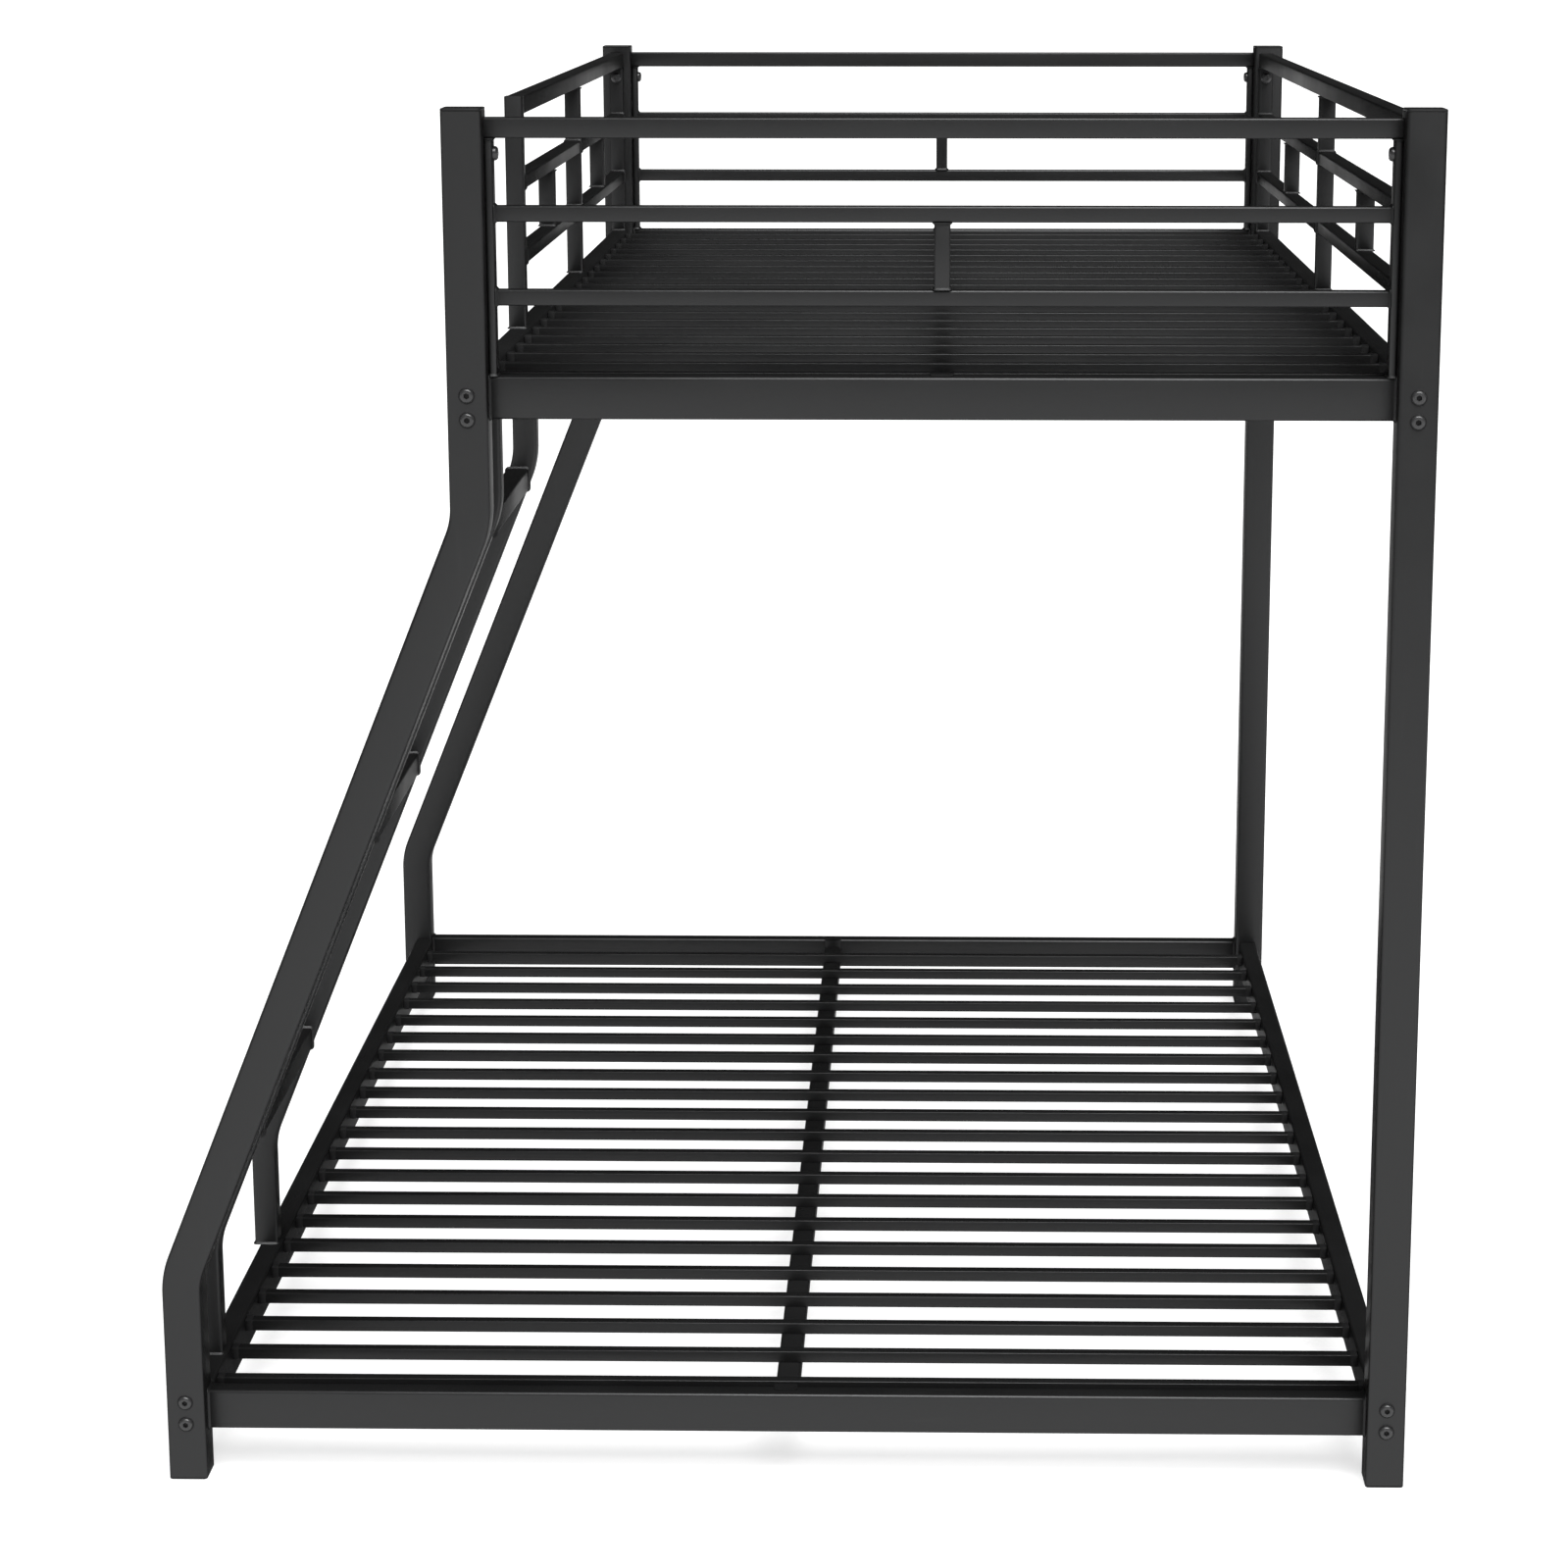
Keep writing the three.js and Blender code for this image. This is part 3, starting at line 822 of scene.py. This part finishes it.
class BUNK_OT_guards(bpy.types.Operator):
    """Model the guards round the upper deck, each one welded frame"""

    bl_idname = "bunk.guards"
    bl_label = "Guards"

    def execute(self, context):
        corner = context.scene.bunk_tubes.guard_corner
        for guard in ("near", "far", "right", "left"):
            nodes = sorted(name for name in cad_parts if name.startswith(f"guard_{guard}_"))
            tubes, seams = [], []
            for node in nodes:
                low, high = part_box(node)
                run = "z" if "upright" in node else run_of(low, high)
                tubes.append(tube(node, run, low, high, corner))
                if "top_rail" in node:
                    continue
                ends = (False,) if "gate" in node else (False, True)
                seams += [collar(run, low, high, at_high, corner) for at_high in ends]
            finished(joined(f"guard_frame_{guard}", tubes), "powder_coat_lengthwise", "steel", *nodes)
            finished(joined(f"guard_seams_{guard}", seams), "weld_seam", "steel")
        return {"FINISHED"}


class BUNK_OT_bolts(bpy.types.Operator):
    """Model the bolts that hold the rails, the crossbars and the guards to the posts"""

    bl_idname = "bunk.bolts"
    bl_label = "Bolts"

    def execute(self, context):
        sizes = context.scene.bunk_bolts
        self.frame_bolts(sizes)
        self.crossbar_domes(sizes)
        self.guard_bolts(sizes)
        return {"FINISHED"}

    def button(self, place, facing, radius, proud, socket):
        """A round head with a domed rim, and a hex socket if one is given."""
        bpy.ops.object.select_all(action="DESELECT")
        bpy.ops.mesh.primitive_cylinder_add(
            vertices=36, radius=radius, depth=proud + MM, location=(0, 0, (proud - MM) / 2)
        )
        bpy.ops.object.transform_apply(location=True, rotation=True, scale=True)
        head = bpy.context.object
        edit_edges(head, at_height(2, proud))
        bevel(min(proud * 0.82, radius * 0.5), 6)
        end_edit()
        if socket:
            bpy.ops.object.select_all(action="DESELECT")
            bpy.ops.mesh.primitive_cylinder_add(
                vertices=6, radius=socket, depth=2 * SOCKET_DEPTH, location=(0, 0, proud)
            )
            cutter = bpy.context.object
            bpy.context.view_layer.objects.active = head
            cut = head.modifiers.new("socket", "BOOLEAN")
            cut.operation = "DIFFERENCE"
            cut.object = cutter
            bpy.ops.object.modifier_apply(modifier=cut.name)
            bpy.data.objects.remove(cutter)
        turn = Vector((0, 0, 1)).rotation_difference(Vector(facing)).to_matrix().to_4x4()
        head.data.transform(Matrix.Translation(place) @ turn)
        return head

    def row(self, places, facing, radius, proud, socket=0):
        """One head, modelled at the first place and copied to the others."""
        head = self.button(places[0], facing, radius, proud, socket)
        return copies(head, [place - places[0] for place in places[1:]])

    def frame_bolts(self, sizes):
        """Two through each end of each side rail, with their heads on the end frames' outer faces, and a
        thin black ring under each head as painted shade.
        """
        heads, shade_rings = [], []
        for end, facing in (("near", -1), ("far", 1)):
            places = []
            for side in SIDES:
                for deck in DECKS:
                    places += self.pair(sizes, end, side, deck)
            out = (0, facing, 0)
            heads += self.row(places, out, sizes.head, sizes.proud, sizes.socket)
            # The black rings under the heads are painted shade: a dark ring standing in for the shadow
            # round each head.
            shade_rings += self.row(places, out, sizes.shade_ring, SHADE_RING_PROUD)
        finished(joined("frame_bolts", heads), "blackened_bolt", "steel")
        finished(joined("bolt_washers", shade_rings), "moulded_plastic", "plastic")

    def pair(self, sizes, end, side, deck):
        """The places of the two bolts at one end of a side rail."""
        post_low, post_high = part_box(f"post_{end}_{side}")
        half = (post_high.y - post_low.y) / 2
        bent_foot = side == "left" and deck == "lower"
        x = post_low.x + half if bent_foot else post_high.x - half
        y = post_low.y if end == "near" else post_high.y
        drop = sizes.lower_drop if deck == "lower" else sizes.upper_drop
        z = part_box(f"rail_{deck}_{side}")[1].z - drop
        return [Vector((x, y, z)), Vector((x, y, z - sizes.spacing))]

    def crossbar_domes(self, sizes):
        """One through each post into the end of each crossbar, on the posts' outer side faces."""
        post_low, post_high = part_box("post_near_right")
        post = post_high.x - post_low.x
        heads = []
        for facing in (1, -1):
            places = []
            for end in ENDS:
                for deck in DECKS:
                    low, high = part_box(f"crossbar_{end}_{deck}")
                    place = (low + high) / 2
                    place.x = high.x + post if facing > 0 else low.x - post
                    places.append(place)
            heads += self.row(places, (facing, 0, 0), sizes.dome, sizes.dome_proud)
        finished(joined("crossbar_domes", heads), "powder_coat_upright", "steel")

    def guard_bolts(self, sizes):
        """One through each guard upright that stands at a post, with its head inside the bed."""
        rows = (
            ((1, 0, 0), ("guard_near_left_upright", "guard_far_left_upright")),
            ((-1, 0, 0), ("guard_near_right_upright", "guard_far_right_upright")),
            ((0, 1, 0), ("guard_right_near_upright",)),
            ((0, -1, 0), ("guard_right_far_upright", "guard_left_far_upright")),
        )
        heads = []
        for facing, uprights in rows:
            places = []
            for node in uprights:
                low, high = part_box(node)
                place = (low + high) / 2 + Vector(facing) * (high - low).dot(Vector(map(abs, facing))) / 2
                place.z = sizes.guard_height
                places.append(place)
            heads += self.row(places, facing, sizes.head, sizes.guard_proud, sizes.socket)
        finished(joined("guard_bolts", heads), "blackened_bolt", "steel")


# ---------------------------------------------------------------- the stage


class BUNK_OT_stage(bpy.types.Operator):
    """Set up the floor, the soft light and the camera"""

    bl_idname = "bunk.stage"
    bl_label = "Stage"

    def execute(self, context):
        self.floor(context)
        self.lights(context)
        self.camera(context)
        context.scene.view_settings.view_transform = "Standard"
        return {"FINISHED"}

    def floor(self, context):
        """A wide pale floor, lit up for the camera only so that it looks white."""
        bpy.ops.object.select_all(action="DESELECT")
        bpy.ops.mesh.primitive_plane_add(size=FLOOR_SIZE, location=(0, 0, -FLOOR_GAP))
        ground = context.object
        ground.name = "floor"
        material = bpy.data.materials.new("pale_floor")
        material.use_nodes = True
        shader = material.node_tree.nodes["Principled BSDF"]
        shader.inputs["Base Color"].default_value = tuple(context.scene.bunk_finishes.floor)
        shader.inputs["Roughness"].default_value = 0.9
        shader.inputs["Specular IOR Level"].default_value = 0.1
        tree = material.node_tree
        glow = tree.nodes.new("ShaderNodeEmission")
        glow.inputs["Strength"].default_value = WHITE_GLOW
        path = tree.nodes.new("ShaderNodeLightPath")
        mix = tree.nodes.new("ShaderNodeMixShader")
        share = maths(tree, "MULTIPLY", path.outputs["Is Camera Ray"], 0.5)
        tree.links.new(share, mix.inputs["Fac"])
        tree.links.new(shader.outputs[0], mix.inputs[1])
        tree.links.new(glow.outputs[0], mix.inputs[2])
        tree.links.new(mix.outputs[0], tree.nodes["Material Output"].inputs["Surface"])
        ground.data.materials.append(material)

    def lights(self, context):
        """A very soft sun from above, and a world that lights more from the front and looks white."""
        bpy.ops.object.select_all(action="DESELECT")
        tilt = [math.radians(angle) for angle in SUN_TILT]
        bpy.ops.object.light_add(type="SUN", location=SUN_PLACE, rotation=(*tilt, 0))
        sun = context.object
        sun.name = "soft_top_light"
        sun.data.energy = SUN_STRENGTH
        sun.data.angle = math.radians(SUN_SPREAD)
        world = bpy.data.worlds.new("studio")
        world.use_nodes = True
        context.scene.world = world
        tree = world.node_tree
        background = tree.nodes["Background"]
        output = tree.nodes["World Output"]
        place = tree.nodes.new("ShaderNodeTexCoord")
        split = tree.nodes.new("ShaderNodeSeparateXYZ")
        tree.links.new(place.outputs["Generated"], split.inputs[0])
        ramp = tree.nodes.new("ShaderNodeMapRange")
        ramp.inputs["From Min"].default_value = -0.9
        ramp.inputs["From Max"].default_value = 0.7
        ramp.inputs["To Min"].default_value = 0.3
        ramp.inputs["To Max"].default_value = 0.02
        tree.links.new(split.outputs["Y"], ramp.inputs["Value"])
        tree.links.new(ramp.outputs[0], background.inputs["Color"])
        seen = tree.nodes.new("ShaderNodeBackground")
        seen.inputs["Color"].default_value = (1, 1, 1, 1)
        seen.inputs["Strength"].default_value = WHITE_GLOW
        path = tree.nodes.new("ShaderNodeLightPath")
        mix = tree.nodes.new("ShaderNodeMixShader")
        tree.links.new(path.outputs["Is Camera Ray"], mix.inputs["Fac"])
        tree.links.new(background.outputs[0], mix.inputs[1])
        tree.links.new(seen.outputs[0], mix.inputs[2])
        tree.links.new(mix.outputs[0], output.inputs["Surface"])

    def camera(self, context):
        """A long lens at the near end, above the upper deck."""
        bpy.ops.object.camera_add(
            location=CAMERA_PLACE,
            rotation=(math.radians(90 - CAMERA_PITCH), 0, math.radians(CAMERA_YAW)),
        )
        camera = context.object
        camera.name = "view_from_near_end"
        camera.data.lens = LENS
        camera.data.sensor_width = SENSOR
        camera.data.shift_x, camera.data.shift_y = SHIFT
        context.scene.camera = camera


# ---------------------------------------------------------------- add-on


class BUNK_PT_panel(bpy.types.Panel):
    """Sizes, finishes and pieces of the bunk bed"""

    bl_idname = "BUNK_PT_panel"
    bl_label = "Bunk bed"
    bl_space_type = "VIEW_3D"
    bl_region_type = "UI"
    bl_category = "Bunk bed"

    def draw(self, context):
        for label in GROUPS:
            group = getattr(context.scene, label)
            column = self.layout.column(align=True)
            for name in group.bl_rna.properties.keys():
                if name not in {"rna_type", "name"}:
                    column.prop(group, name)
        for operator in OPERATORS:
            self.layout.operator(operator.bl_idname)


OPERATORS = (
    BUNK_OT_posts,
    BUNK_OT_caps,
    BUNK_OT_bars,
    BUNK_OT_slats,
    BUNK_OT_ladder,
    BUNK_OT_guards,
    BUNK_OT_bolts,
    BUNK_OT_stage,
)
GROUPS = {
    "bunk_tubes": TubeSizes,
    "bunk_slats": SlatSizes,
    "bunk_bolts": BoltSizes,
    "bunk_finishes": Finishes,
}


def register():
    """Adds the classes, and the sizes and colours to the scene."""
    for group in (*GROUPS.values(), *OPERATORS, BUNK_PT_panel):
        bpy.utils.register_class(group)
    for name, group in GROUPS.items():
        setattr(bpy.types.Scene, name, bpy.props.PointerProperty(type=group))


def unregister():
    """Takes them away again."""
    for name in GROUPS:
        delattr(bpy.types.Scene, name)
    for group in (BUNK_PT_panel, *reversed(OPERATORS), *GROUPS.values()):
        bpy.utils.unregister_class(group)


def main():
    """Models the whole bed."""
    register()
    bpy.ops.bunk.posts()
    bpy.ops.bunk.caps()
    bpy.ops.bunk.bars()
    bpy.ops.bunk.slats()
    bpy.ops.bunk.ladder()
    bpy.ops.bunk.guards()
    bpy.ops.bunk.bolts()
    bpy.ops.bunk.stage()


if __name__ == "__main__":
    main()
